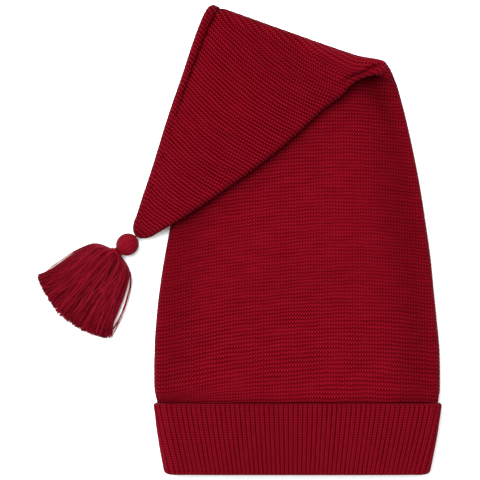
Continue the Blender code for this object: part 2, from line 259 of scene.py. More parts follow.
class Term:  # a socket that plain arithmetic works on
    def __init__(self, wire, socket):
        self.wire = wire
        self.socket = socket

    __add__ = joining("ADD")
    __sub__ = joining("SUBTRACT")
    __rsub__ = joining("SUBTRACT", True)
    __mul__ = joining("MULTIPLY")
    __truediv__ = joining("DIVIDE")

    def clamped(self):
        self.socket.node.use_clamp = True
        return self


class Wiring:  # places nodes in a tree and joins them by socket
    def __init__(self, tree):
        self.tree = tree

    def feed(self, socket, value):
        value = value.socket if isinstance(value, Term) else value
        if isinstance(value, bpy.types.NodeSocket):
            self.tree.links.new(value, socket)
        else:
            socket.default_value = value

    def node(self, kind, inputs=None, **settings):
        made = self.tree.nodes.new(kind)
        for key, value in settings.items():
            setattr(made, key, value)
        for key, value in (inputs or {}).items():
            self.feed(made.inputs[key], value)
        return made

    def out(self, kind, inputs=None, output=0, **settings):
        return Term(self, self.node(kind, inputs, **settings).outputs[output])

    def math(self, operation, *values):
        return self.out("ShaderNodeMath", dict(enumerate(values)), operation=operation)

    def noise(self, place, scale, detail):
        return self.out("ShaderNodeTexNoise", {"Vector": place, "Scale": scale, "Detail": detail})

    def mix(self, factor, first, second, blend="MIX"):
        return self.out("ShaderNodeMix", {"Factor": factor, 6: first, 7: second}, 2, data_type="RGBA",
                        blend_type=blend)


def openGroup(family, name, inputs, outputs):
    group = bpy.data.node_groups.new(name, family + "NodeTree")
    for way, sockets in (("INPUT", inputs), ("OUTPUT", outputs)):
        for label, kind in sockets.items():
            group.interface.new_socket(label, in_out=way, socket_type="NodeSocket" + kind)
    wire = Wiring(group)
    given = wire.node("NodeGroupInput").outputs
    return wire, {label: Term(wire, given[label]) for label in inputs}


def openGeometry(name, inputs):
    return openGroup("Geometry", name, {"Geometry": "Geometry", **inputs, "Material": "Material"},
                     {"Geometry": "Geometry"})


def closeGeometry(wire, geometry, material):
    real = wire.out("GeometryNodeRealizeInstances", {"Geometry": geometry})
    dyed = wire.out("GeometryNodeSetMaterial", {"Geometry": real, "Material": material})
    wire.node("NodeGroupOutput", {"Geometry": dyed})
    return wire.tree


def reliefTree(name, waveScale, shape):  # moves the points out and in along their normals
    wire, given = openGeometry(name, {"Depth": "Float", "Wave": "Float", "Seed": "Float"})
    place, share = (wire.out("GeometryNodeInputNamedAttribute", {"Name": label}, "Attribute")
                    for label in ("reliefPlace", "reliefShare"))
    slow = wire.out("ShaderNodeTexNoise", {
        "Vector": wire.out("GeometryNodeInputPosition"), "W": given["Seed"], "Scale": waveScale,
        "Detail": 2.0}, noise_dimensions="4D")
    amount = ((slow - 0.5) * given["Wave"] + shape(wire, place) * given["Depth"]) * share
    move = wire.node("ShaderNodeVectorMath", {0: wire.out("GeometryNodeInputNormal")}, operation="SCALE")
    wire.feed(move.inputs["Scale"], amount)
    moved = wire.out("GeometryNodeSetPosition", {"Geometry": given["Geometry"], "Offset": move.outputs[0]})
    return closeGeometry(wire, moved, given["Material"])


def runTree(thing, tree, values):  # evaluate the tree and keep its result as a plain mesh
    modifier = thing.modifiers.new(tree.name, "NODES")
    modifier.node_group = tree
    for item in tree.interface.items_tree:
        if item.in_out == "INPUT" and item.name in values:
            modifier[item.identifier] = values[item.name]
    graph = bpy.context.evaluated_depsgraph_get()
    graph.update()
    made = bpy.data.meshes.new_from_object(thing.evaluated_get(graph), depsgraph=graph)
    name = thing.name
    bpy.data.objects.remove(thing)
    return addObject(name, made)


def finishPiece(thing, node):
    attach(thing, "root")
    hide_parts(node)
    triangles = sum(len(face.vertices) - 2 for face in thing.data.polygons)
    print(f"{thing.name}: {triangles} triangles")


# Shader groups

knitSurface = {
    "Roughness": 0.9, "Specular IOR Level": 0.03, "Specular Tint": (1.0, 0.12, 0.2, 1),
    "Sheen Weight": 0.03, "Sheen Roughness": 0.3, "Sheen Tint": (1.0, 0.16, 0.34, 1),
}


def openStitches(name, *numbers):  # a group that reads stitches across and rows along the knitting
    wire, given = openGroup("Shader", name, {"Place": "Vector", **dict.fromkeys(numbers, "Float")},
                            {"Height": "Float", "Crevice": "Float"})
    split = wire.node("ShaderNodeSeparateXYZ", {"Vector": given["Place"]}).outputs
    return wire, given, Term(wire, split["X"]), Term(wire, split["Y"])


def unevenness(wire, given, stretch):  # slow streaks along the rows of stitches
    stretched = wire.out("ShaderNodeVectorMath", {0: given["Place"], 1: stretch}, operation="MULTIPLY")
    return (wire.noise(stretched, 1.0, 2.0) - 0.5) * given["Uneven"] + 1.0


def speckled(given, value):
    return value * given["Speck"] + (1.0 - given["Speck"])


def garterStitchGroup():  # rows of stitches, each row a zigzag chain of loops
    wire, given, across, along = openStitches("garterStitch", "Zigzag", "Speck", "Uneven", "Calm Row", "Calm")
    calm = ((along - given["Calm Row"]) * 0.08).clamped() * given["Calm"]
    zigzag = (wire.math("PINGPONG", across, 0.5) - 0.25) * 4.0
    rows = zigzag * (given["Zigzag"] * (1.0 - calm)) + along
    fromRidge = rows - wire.math("ROUND", rows)
    ridge = wire.math("POWER", wire.math("COSINE", fromRidge * math.pi), 1.4)
    apex = wire.math("COSINE", across * (2 * math.pi))
    height = ridge * speckled(given, apex * -0.5 + 0.5)
    # the crevice mask paints shade between the loops, with slow random streaks; the raised loop tops come out
    # as painted highlight specks
    crevice = ((1.0 - height).clamped() * unevenness(wire, given, (0.11, 0.55, 1.0))).clamped()
    wire.node("NodeGroupOutput", {"Height": height, "Crevice": crevice})
    return wire.tree


def waleStitchGroup():  # two columns of small V stitches to each rib
    wire, given, across, along = openStitches("waleStitch", "Stitch Pitch", "Speck", "Uneven")
    fromGroove = wire.math("PINGPONG", across, 0.5)
    width = unevenness(wire, given, (0.45, 55.0, 1.0)) * 0.17
    groove = wire.math("SMOOTH_MIN", fromGroove / width, 1.0, 0.2)
    rows = wire.math("PINGPONG", across * 2.0, 0.5) * 1.3 + along / given["Stitch Pitch"]
    stitch = speckled(given, wire.math("COSINE", rows * (2 * math.pi)) * 0.5 + 0.5)
    wale = wire.math("SMOOTH_MIN", (0.5 - fromGroove) * 4.0 + 0.55, 1.0, 0.2)
    height = groove * stitch * wale
    # the crevice mask paints shade in the grooves between ribs and between the stitches
    wire.node("NodeGroupOutput", {"Height": height, "Crevice": (1.0 - height).clamped()})
    return wire.tree


def yarnColourGroup():  # mixes deep and crest by the crevice mask, which paints shade in the knitting's crevices; crests keep a pinker tint as a painted sheen; a slow random drift of tone; the Shade input is painted shade
    wire, given = openGroup("Shader", "yarnColourAndPaintedShade", {
        "Crevice": "Float", "Deep": "Color", "Crest": "Color", "Drift": "Float", "Shade": "Float"},
        {"Colour": "Color", "Fleck": "Float"})
    place = wire.out("ShaderNodeTexCoord", output="Object")
    slow = wire.noise(place, 22.0, 3.0)
    fleck = wire.noise(place, 1500.0, 2.0)
    mixed = wire.mix(given["Crevice"], given["Crest"], given["Deep"])
    # painted shade: the crevices go purer and darker red, while the crests keep a pinker painted sheen
    paintedShadeTint = wire.mix((given["Crevice"] * 1.5).clamped(), (1, 1, 1, 1), (1, 0.1, 0.25, 1))
    # the Shade input darkens the whole colour evenly: painted shade
    value = (slow - 0.5) * given["Drift"] + (fleck - 0.5) * 0.6 + 1.0
    toned = wire.out("ShaderNodeHueSaturation", {"Color": wire.mix(1.0, mixed, paintedShadeTint, "MULTIPLY"),
                                                 "Value": value * (1.0 - given["Shade"])})
    wire.node("NodeGroupOutput", {"Colour": toned, "Fleck": fleck})
    return wire.tree


yarnColourAndPaintedShade = yarnColourGroup()


def yarnMaterial(name, surface, yarn, shadeLabel):
    material = bpy.data.materials.new(name)
    material.use_nodes = True
    wire = Wiring(material.node_tree)
    shader = material.node_tree.nodes["Principled BSDF"]
    for label, value in surface.items():
        shader.inputs[label].default_value = value
    colour = wire.node("ShaderNodeGroup", node_tree=yarnColourAndPaintedShade)
    for label, value in yarn.items():
        colour.inputs[label].default_value = value
    wire.feed(shader.inputs["Base Color"], colour.outputs["Colour"])
    shade = wire.out("ShaderNodeAttribute", output="Fac", attribute_name=shadeLabel)
    return material, wire, shader, colour, shade


def knitMaterial(name, yarn, bump, pattern, patternValues):
    material, wire, shader, colour, shade = yarnMaterial(name, knitSurface, yarn, "paintedShade")
    place = wire.out("ShaderNodeUVMap", uv_map="knit")
    stitches = wire.node("ShaderNodeGroup", node_tree=pattern)
    for label, value in {"Place": place, **patternValues}.items():
        wire.feed(stitches.inputs[label], value)
    # painted shade: the attribute of painted shade darkens the colour, and the stitch crevices get painted
    # shade through the Deep colour
    wire.feed(colour.inputs["Shade"], shade)
    wire.feed(colour.inputs["Crevice"], stitches.outputs["Crevice"])
    raised = Term(wire, colour.outputs["Fleck"]) * 0.35 + stitches.outputs["Height"]
    bumped = wire.out("ShaderNodeBump", {"Strength": bump, "Distance": 0.0005, "Height": raised})
    wire.feed(shader.inputs["Normal"], bumped)
    return material


def threadMaterial(name, surface, yarn):
    material, wire, shader, colour, shade = yarnMaterial(name, surface, yarn, "threadShade")
    strands = wire.noise(wire.out("ShaderNodeTexCoord", output="Object"), 380.0, 4.0)
    wire.feed(colour.inputs["Crevice"], (strands * 0.5 + (0.72 - shade)).clamped())
    bumped = wire.out("ShaderNodeBump", {"Strength": 0.4, "Distance": 0.0002, "Height": strands})
    wire.feed(shader.inputs["Normal"], bumped)
    return material


# Crown: a tube of ridged knitting, its rows arched across both faces

corner = {
    "edgeSpread": (  # up, spread, amount
        (0.2825, 0.0075, 0.0075), (0.304, 0.0085, 0.0013), (0.215, 0.055, 0.0009),
    ),
    "trough": (  # up, in from the right edge, depth, width
        (0.050, 0.0085, 0.0002, 0.0040), (0.150, 0.0085, 0.0005, 0.0040), (0.200, 0.0085, 0.0008, 0.0038),
        (0.230, 0.0092, 0.0016, 0.0038), (0.240, 0.0110, 0.0022, 0.0042), (0.250, 0.0145, 0.0026, 0.0050),
        (0.262, 0.0160, 0.0026, 0.0055), (0.280, 0.0150, 0.0018, 0.0055), (0.292, 0.0130, 0, 0.0050),
    ),
    "pocket": (0.048, 0.262),
    "pocketSize": (0.012, 0.013),
    "pocketDepth": 0.0020,
    "deepest": 0.0042,
    "innerDeepest": 0.0024,
    "lift": (  # up, lift of the front beside the edge, lift of the back
        (0.215, 0, 0), (0.240, 0.0008, 0), (0.250, 0.0020, 0),
        (0.260, 0.0032, 0), (0.268, 0.0034, 0), (0.276, 0.0034, 0),
        (0.281, 0.0032, 0.0024), (0.286, 0.0028, 0.0032), (0.294, 0.0012, 0.0016),
        (0.304, 0, 0),
    ),
    "frontStrip": (0.0135, 0.0075),  # how far in the lift begins and how wide its slope is
    "backStrip": (0.0085, 0.0022),
    "creaseIn": ((0.278, 0.0042), (0.280, 0.0057), (0.284, 0.0085), (0.286, 0.0080), (0.288, 0.0068),
                 (0.294, 0.0056)),
    "creaseStart": (0.277, 0.003),  # how far up, and how far it takes to set in or fade
    "creaseEnd": (0.290, 0.012),
    "creaseWidth": 0.0011,
    "creaseDepth": 0.0010,
    # painted shade in the crease and in the hollow below the fold's corner
    "creaseShade": 0.6,
    "dentShade": 0.46,
}

crown = {
    "calmUp": 0.300,
    "rowPitch": (  # how far up, distance from row to row
        (0.040, 0.00277), (0.076, 0.00275), (0.090, 0.00256),
        (0.102, 0.00248), (0.116, 0.00238), (0.129, 0.00226),
        (0.145, 0.00224), (0.180, 0.00232), (0.300, 0.00238),
        (0.470, 0.00240),
    ),
    "stitchPitch": ((0.0, 0.00184), (0.28, 0.00182), (0.33, 0.00168), (0.47, 0.00160)),
    "stepsPerRow": 4,
    "relief": {"Depth": 0.00030, "Wave": 0.0006, "Seed": 3.0},
    "waveScale": 24.0,
    "warp": 0.16,  # in rows
    "warpLengths": (0.10, 0.07, 0.05, 0.035, 0.024, 0.017),
    "archIn": 0.030,  # the rows begin straight at the cuff and end straight at the tip
    "archOut": 0.012,
    "frontPeak": 0.45,  # where a row stands highest, in half widths from the middle
    "frontLeftBend": 0.075,
    "frontRightBend": 0.14,
    "backPeak": -0.10,
    "backBend": 0.100,
    "stripSlope": 0.2,
    "seamDepth": 0.0011,
    "seamIn": ((0.0, 0.012), (0.55, 0.0105), (0.69, 0.0072), (0.708, 0.0068), (0.747, 0.0062),
               (0.786, 0.0054), (0.825, 0.0057), (0.86, 0.0056), (1.0, 0.0039)),
    "seamWobble": 0.0003,
    "seamColumns": ((0, 1.0), (1, 0.8), (2, 0.45), (3, 0.12), (-1, 0.6), (-2, 0.3)),
    # painted shade: in the seam's groove, on the strip beside it, along the right and left edges, on the
    # flap, in a line below the flap's edge and just above the cuff
    "seamShade": 0.75,
    "seamRelief": 0.3,
    "stripShade": 0.22,
    "rightShade": (0.24, 0.017, 0.015),  # how dark, how far in, how wide
    "leftShade": (0.20, 0.012, 0.014),
    "flapShade": 0.19,
    "lineShade": 0.36,
    "lineFade": 0.010,
    "bodyEnd": (0.262, 0.010),  # how far up, and how wide the change is
    "flapStart": (0.285, 0.020),
    "flapSpan": (0.286, 0.445),
    "cuffShade": 0.8,
    "cuffDip": 0.0009,
    "cuffFade": 0.0016,
    "seamFade": (0.79, 0.86),
    "shares": {  # where the columns stand on each side, closer beside the seam
        "back": [0.0, 0.005, 0.011, *np.linspace(0.022, 0.87, 29), *np.linspace(0.89, 1, 13)],
        "right": np.linspace(0, 1, 11),
        "front": np.linspace(0, 1, 49),
        "left": np.linspace(0, 1, 11),
        "strip": [0.0, 0.3, 0.55, 0.75, 0.88, 1.0],
    },
    "innerRings": 52,
    "stitches": {"Zigzag": 0.34, "Speck": 0.45, "Uneven": 0.6, "Calm": 0.3},
    # Deep is the colour of painted shade in the crevices between loops
    "yarn": {"Deep": (0.024, 0.0001, 0.0003, 1), "Crest": (0.188, 0.0060, 0.0176, 1), "Drift": 0.16},
    "bump": 0.9,
}
crownColumns = {side: len(shares) - 1 for side, shares in crown["shares"].items()}

fineUp = np.linspace(0.0, 0.5, 2001)
fineRow = np.cumsum(np.append(0.0, fineUp[1] / readTable(crown["rowPitch"], fineUp[1:])))


def rowNumber(up):  # rows counted from the crown's lower edge
    return np.interp(up, fineUp, fineRow)


def rowWarp(around, up):  # hand-laid rows are never quite even
    chance = np.random.default_rng(5)
    total = 0.0
    for length in crown["warpLengths"]:
        heading = chance.uniform(-0.9, 0.9)
        phase = chance.uniform(0, 6.28)
        along = around * math.cos(heading) + up * math.sin(heading) * 2.2
        total = total + np.sin(along * 2 * math.pi / length + phase)
    return total / 3.2


def crownEdges(up):  # the fold's corner spreads the flap's edge a little
    left, right = edgesAt(up)
    for centre, spread, amount in corner["edgeSpread"]:
        right = right + amount * hump(up, centre, spread)
    return left, right


def flatPart(up):  # both ends of the flat part and the radius of its rolled edges
    left, right = crownEdges(up)
    roll = thicknessAt(up) / 2
    return left + roll, right - roll, roll


def seamPlace(up):
    wobble = np.sin(up / 0.0014) + 0.7 * np.sin(up / 0.0008 + 1)
    inward = readTable(crown["seamIn"], up / hatLength) + crown["seamWobble"] * wobble
    left, right = crownEdges(up)
    return left + np.minimum(np.maximum(inward, thicknessAt(up) / 2 * 1.03), (right - left) * 0.45)


def fromRight(x, up):
    return crownEdges(up)[1] - x


def frontDent(x, up):  # the hollow below the fold's corner and beside the right edge
    inward, depth, width = (readTable(corner["trough"], up, column) for column in (1, 2, 3))
    dent = corner["pocketDepth"]
    for value, centre, spread in zip((x, up), corner["pocket"], corner["pocketSize"]):
        dent = dent * hump(value, centre, spread)
    dent = dent + depth * hump(fromRight(x, up), inward, width)
    return corner["deepest"] * (1 - np.exp(-dent / corner["deepest"]))


def backCrease(x, up):  # the crease between the fold and the flap's rolled edge
    inward = readTable(corner["creaseIn"], up)
    gate = stepUp(up, *corner["creaseStart"]) * (1 - stepUp(up, *corner["creaseEnd"]))
    return gate * hump(fromRight(x, up), inward, corner["creaseWidth"])


def cornerLift(x, up, front):  # front is 1 on the front and 0 on the back
    lifts = []
    for column, strip in ((1, "frontStrip"), (2, "backStrip")):
        reach, slope = corner[strip]
        lifts.append(readTable(corner["lift"], up, column) * ease((reach - fromRight(x, up)) / slope))
    onBack = lifts[1] + corner["creaseDepth"] * backCrease(x, up)
    return onBack + (lifts[0] - onBack) * front


def rowDrop(x, up, side):  # how far a row lies below its highest place
    start, end, _ = flatPart(up)
    half = np.maximum((end - start) / 2, 1e-5)
    across = (x - (start + end) / 2) / half
    peak = crown["frontPeak"]
    atRight = crown["frontRightBend"] * (1 - peak) ** 2
    atLeft = crown["frontLeftBend"] * (1 + peak) ** 2
    if side == "right":
        return half * atRight
    if side == "left":
        return half * atLeft
    if side == "strip":
        return half * (atLeft - crown["stripSlope"] * (across + 1))
    if side == "back":
        peak = crown["backPeak"]
        return half * (atRight + crown["backBend"] * ((across - peak) ** 2 - (1 - peak) ** 2))
    bend = np.where(across < peak, crown["frontLeftBend"], crown["frontRightBend"])
    return half * bend * (across - peak) ** 2


def crownSide(side, share, height, arch, offset):
    up = height + 0 * share
    for _ in range(6):  # the arched rows and the tapered sides settle together
        start, end, roll = flatPart(up)
        x = {"front": end - share * (end - start),
             "back": seamPlace(up) + share * (end - seamPlace(up)),
             "strip": start + share * (seamPlace(up) - start),
             "right": end, "left": start}[side]
        up = height - arch * rowDrop(x, up, side)
    start, end, roll = flatPart(up)
    flat = np.maximum(end - start, 1e-5)
    under = undersideAt(up)
    across = np.clip((x - start) / flat, 0, 1)
    if side == "front":
        around = x
        dent = frontDent(x, up)
        if offset < 0:
            dent = np.minimum(dent, corner["innerDeepest"])
        z = under + 2 * roll + bulge(share, flat, upperPuff(up / hatLength)) + offset
        z = z - dent + cornerLift(x, up, 1.0)
    elif side in ("back", "strip"):
        around = 2 * start - math.pi * roll - x if side == "strip" else 2 * end + math.pi * roll - x
        z = under - bulge(across, flat, underPuff(up / hatLength)) - offset + cornerLift(x, up, 0.0)
    else:
        sign = 1 if side == "right" else -1
        turn = math.pi * (share if side == "right" else 1 - share)
        around = x + sign * roll * (math.pi - turn)
        z = under + roll - (roll + offset) * np.cos(turn)
        if side == "right":
            front = (1 - np.cos(turn)) / 2
            z = z + cornerLift(x, up, front) - frontDent(x, up) * front
        x = x + sign * (roll + offset) * np.sin(turn)
    row = up + arch * rowDrop(np.clip(x, start, end), up, side)
    rows = rowNumber(row) + crown["warp"] * rowWarp(around, row)
    return x, up, z, around / readTable(crown["stitchPitch"], up), rows


def crownHeights():
    top = hatLength - tipRound
    numbers = np.arange(rowNumber(crownLower), rowNumber(top), 1 / crown["stepsPerRow"])
    turn = np.linspace(0, math.pi / 2, 12)[1:-1]
    straight = np.interp(numbers, fineRow, fineUp)
    return np.concatenate((straight, [top], top + tipRound * np.sin(turn)))


def ridgeShape(wire, place):
    ridge = wire.math("ABSOLUTE", wire.math("COSINE", place * math.pi))
    return wire.math("POWER", ridge, 0.8) - 0.75


def flapEdgeLine():  # where the flap's lower edge lies above the body
    up = np.linspace(*crown["flapSpan"], 60)
    x, y, _ = foldOver(crownEdges(up)[1], up, undersideAt(up) + thicknessAt(up) / 2)
    order = np.argsort(x)
    return x[order], y[order] + originUp


flapEdge = flapEdgeLine()


def softShade(x, up):  # painted shade, a little darker where the knitting turns away from the light at both edges, on the flap, in the hollow below the fold's corner and in a line below the flap's edge
    left, right = crownEdges(up)
    rightDark, rightIn, rightWide = crown["rightShade"]
    leftDark, leftIn, leftWide = crown["leftShade"]
    onBody = 1 - stepUp(up, *crown["bodyEnd"])
    below = np.maximum(np.interp(x, *flapEdge) - up, 0)
    shades = (
        rightDark * onBody * hump(right - x, rightIn, rightWide),
        leftDark * onBody * hump(x - left, leftIn, leftWide),
        crown["flapShade"] * stepUp(up, *crown["flapStart"]),
        corner["dentShade"] * onBody * frontDent(x, up) / corner["deepest"],
        crown["lineShade"] * onBody * np.exp(-below / crown["lineFade"]),
    )
    return math.prod(1 - shade for shade in shades)


def shadeOuter(x, up, z):  # presses the seam and the cuff's line in and gives them painted shade, and adds the painted shade of the strip beside the seam, the crease and softShade
    frontStart = crownColumns["back"] + crownColumns["right"]
    back = slice(0, crownColumns["back"])
    front = slice(frontStart, frontStart + crownColumns["front"])
    strip = slice(-crownColumns["strip"], None)
    fadeStart, fadeEnd = crown["seamFade"]
    drawn = 1 - stepUp(up / hatLength, fadeStart, fadeEnd - fadeStart)
    deep = np.zeros(x.shape)
    # painted shade on the strip beside the seam and in the seam's groove
    deep[:, strip] = crown["stripShade"] * drawn[:, strip]
    for column, amount in crown["seamColumns"]:
        z[:, column] += crown["seamDepth"] * amount * drawn[:, column]
        shade = crown["seamShade"] * amount * drawn[:, column]
        deep[:, column] = np.maximum(deep[:, column], shade)
    light = softShade(x, up)
    # painted shade in the crease
    light[:, back] *= 1 - corner["creaseShade"] * backCrease(x[:, back], up[:, back])
    # painted shade in a line just above the cuff, where the crown also dips
    besideCuff = np.exp(-np.maximum(up - cuffHeight, 0) / crown["cuffFade"])
    z[:, front] -= crown["cuffDip"] * besideCuff[:, front]
    return 1 - (1 - deep) * light * (1 - crown["cuffShade"] * besideCuff)


def crownLayer(heights, offset):  # a layer's places, its values at each point, its face corners
    height = heights[:, None]
    arch = stepUp(height, crownLower, crown["archIn"]) * ease((hatLength - height) / crown["archOut"])
    parts = []
    for side, shares in crown["shares"].items():
        values = crownSide(side, np.array(shares)[None, :], height, arch, offset)
        parts.append(np.stack(values, axis=-1))
    starts, ends = (np.concatenate([part[:, cut] for part in parts], axis=1)
                    for cut in (slice(None, -1), slice(1, None)))
    x, up, z, _, row = np.moveaxis(starts, -1, 0).copy()
    # the outer layer carries painted shade, the inner layer none
    deep = np.zeros(x.shape) if offset else shadeOuter(x, up, z)
    share = np.full(x.shape, 0.0 if offset else 1.0)
    share[:, 0] *= crown["seamRelief"]
    places = np.stack(foldOver(x, up, z), axis=-1).reshape(-1, 3)
    return places, row.ravel(), share.ravel(), deep.ravel(), faceCorners(starts[..., 3:], ends[..., 3:])


def buildCrown():
    calmRow = float(rowNumber(crown["calmUp"]))
    material = knitMaterial("ridgedKnit", crown["yarn"], crown["bump"], garterStitchGroup(),
                            {**crown["stitches"], "Calm Row": calmRow})
    outer = crownHeights()
    innerTop = hatLength - tipRound
    inner = np.linspace(outer[0], innerTop, crown["innerRings"])
    layers = (crownLayer(outer, 0.0), crownLayer(inner, -wall))
    places, rows, shares, paintedShades = (np.concatenate([layer[index] for layer in layers]) for index in range(4))
    outerCorners, innerCorners = layers[0][4], layers[1][4]
    columns = sum(crownColumns.values())
    outerCount = len(outer) * columns
    column = np.arange(columns)
    after = (column + 1) % columns
    apexes, caps = [], []
    for top, last, way in ((hatLength, outerCount - columns, -1),
                           (innerTop + wall, len(places) - columns, 1)):
        cap = np.stack((last + column, last + after, np.full(columns, len(places) + len(apexes))), axis=-1)
        caps += cap[:, ::way].tolist()
        apexes.append(foldOver(middleAt(top), top, foldDepth / 2))
    rim = np.stack((column, column + outerCount, after + outerCount, after), axis=-1)
    outerFaces = tubeFaces(len(outer), columns)
    innerFaces = tubeFaces(len(inner), columns, outerCount)
    quads = np.concatenate((outerFaces[:, ::-1], innerFaces, rim[:, ::-1]))
    corners = np.concatenate((outerCorners[:, ::-1], innerCorners, outerCorners[:columns, ::-1]))
    capCorners = np.tile(outerCorners[-1, 0], (6 * columns, 1))
    thing = meshFromGrid("crownKnit", np.concatenate((places, apexes)), quads.tolist() + caps,
                         np.concatenate((corners.reshape(-1, 2), capCorners)),
                         {"reliefPlace": np.append(rows, [hatLength, hatLength]),
                          "reliefShare": np.append(shares, [0, 0]), "paintedShade": np.append(paintedShades, [0, 0])})
    tree = reliefTree("knitRidges", crown["waveScale"], ridgeShape)
    finishPiece(runTree(thing, tree, {**crown["relief"], "Material": material}), "crown")


print("crown")
buildCrown()


# Cuff: ribbed band, turned up on itself

cuffKnit = {
    "ribCount": 120,
    "stepsPerRib": 8,
    "relief": {"Depth": 0.0009, "Wave": 0.0004, "Seed": 8.0},
    "waveScale": 60.0,
    "groove": (0.17, 1.0),  # width in ribs, depth
    "dip": (0.10, 0.30),
    "squeeze": 0.06,
    "lip": 0.0014,
    "cornerRound": 0.0024,
    "raise": 0.0006,
    "stitches": {"Stitch Pitch": 0.0016, "Speck": 0.8, "Uneven": 1.5},
    # Deep is the colour of painted shade in the grooves between ribs
    "yarn": {"Deep": (0.015, 0.0001, 0.0002, 1), "Crest": (0.183, 0.0058, 0.0170, 1), "Drift": 0.16},
    "bump": 0.8,
}


def aroundCuff(share, up, offset):  # share 0 is the middle of the front, going right
    left, right = edgesAt(up)
    roll = thicknessAt(up) / 2
    flat = right - left - 2 * roll
    half = flat / 2
    middle = (left + right) / 2
    arc = (share % 1.0) * (2 * flat + 2 * math.pi * roll)
    back = half + math.pi * roll
    secondRoll = back + flat
    front = secondRoll + math.pi * roll
    turnRight, turnLeft = (np.clip((arc - start) / roll, 0, math.pi) for start in (half, secondRoll))
    sections = [arc < half, arc < back, arc < secondRoll, arc < front]
    x = np.select(sections, [middle + arc,
                             middle + half + (roll + offset) * np.sin(turnRight),
                             middle + half - (arc - back),
                             middle - half - (roll + offset) * np.sin(turnLeft)],
                  middle - half + (arc - front))
    under = undersideAt(up)
    flatShare = np.clip((x - left - roll) / flat, 0, 1)
    top = under + 2 * roll + bulge(flatShare, flat, upperPuff(up / hatLength)) + offset
    z = np.select(sections, [top,
                             under + roll + (roll + offset) * np.cos(turnRight),
                             under - offset,
                             under + roll - (roll + offset) * np.cos(turnLeft)], top)
    return x, z


def cuffProfile():  # height, offset and how deep the ribs are, along the band
    space = cuffForm["space"]
    outside = space + cuffForm["layer"]
    inside = -wall
    top = cuffHeight
    innerTop = crownLower - clearance
    lip = cuffKnit["lip"]
    turnDepth = (outside - inside) / 2
    rows = [(innerTop, inside, 0.0)]
    rows += [(up, inside, 1.0) for up in np.linspace(innerTop - 0.001, turnDepth, 9)]
    for angle in np.linspace(0, math.pi, 9)[1:-1]:
        out = (outside + inside) / 2 - turnDepth * math.cos(angle)
        rows.append((turnDepth * (1 - math.sin(angle)), out, 1 - 0.8 * math.sin(angle)))
    rows += [(up, outside, 1.0) for up in np.linspace(turnDepth, top - lip * 1.6, 22)]
    rows += [(top - lip, outside, 0.35), (top - lip * 0.6, outside + 0.00005, 0.05),
             (top - lip * 0.25, outside - 0.0002, 0.0), (top, outside - 0.0008, 0.0),
             (top, space + 0.0008, 0.0), (top - lip * 0.4, space, 0.0),
             (turnDepth * 1.2, space, 0.0), (turnDepth * 1.2, 0.0, 0.0), (innerTop, 0.0, 0.0)]
    return np.array(rows)


def dipShape(wire, distance, width, depth):
    return wire.math("EXPONENT", wire.math("POWER", distance / width, 2.0) * -1.0) * -depth


def ribShape(wire, place):  # a groove between two ribs and a slight dip along each
    fromGroove = wire.math("PINGPONG", place, 0.5)
    groove = dipShape(wire, fromGroove, *cuffKnit["groove"])
    return groove + dipShape(wire, 0.5 - fromGroove, *cuffKnit["dip"])


def buildCuff():
    material = knitMaterial("ribbedKnit", cuffKnit["yarn"], cuffKnit["bump"], waleStitchGroup(),
                            cuffKnit["stitches"])
    profile = cuffProfile()
    rings = len(profile)
    ribs = cuffKnit["ribCount"]
    columns = ribs * cuffKnit["stepsPerRib"]
    share = np.arange(columns + 1)[None, :] / columns
    up, offset = profile[:, :1], profile[:, 1:2]
    squeeze = cuffKnit["squeeze"] * np.clip(1 - up / cuffHeight, 0, 1)
    x, z = aroundCuff(share - squeeze * np.sin(2 * math.pi * share) / (2 * math.pi), up, offset)
    left, right = edgesAt(up)
    turn = np.clip(1 - (cuffHeight - up) / cuffKnit["cornerRound"], 0, 1)
    narrow = 1 - cuffKnit["cornerRound"] * (1 - np.sqrt(1 - turn * turn)) / ((right - left) / 2)
    x = middleAt(up) + (x - middleAt(up)) * narrow
    raised = up - originUp + cuffKnit["raise"] + 0 * x
    places = np.stack([x, raised, z], axis=-1)[:, :-1].reshape(-1, 3)
    path = np.cumsum(np.hypot(*np.diff(profile[:, :2], axis=0).T))
    path = np.concatenate(([0.0], path, path[-1:] + wall))
    knitting = np.stack(np.meshgrid(share[0] * ribs, path), axis=-1)
    corners = faceCorners(knitting[:, :-1], knitting[:, 1:])
    faces = tubeFaces(rings + 1, columns) % (rings * columns)
    cuff = meshFromGrid("cuffKnit", places, faces.tolist(), corners.reshape(-1, 2),
                        {"reliefPlace": np.tile(share[0, :-1] * ribs, rings),
                         "reliefShare": np.repeat(profile[:, 2], columns)})
    tree = reliefTree("knitRibs", cuffKnit["waveScale"], ribShape)
    finishPiece(runTree(cuff, tree, {**cuffKnit["relief"], "Material": material}), "cuff")


print("cuff")
buildCuff()


# Tassel: threads run through the head, the neck and the skirt

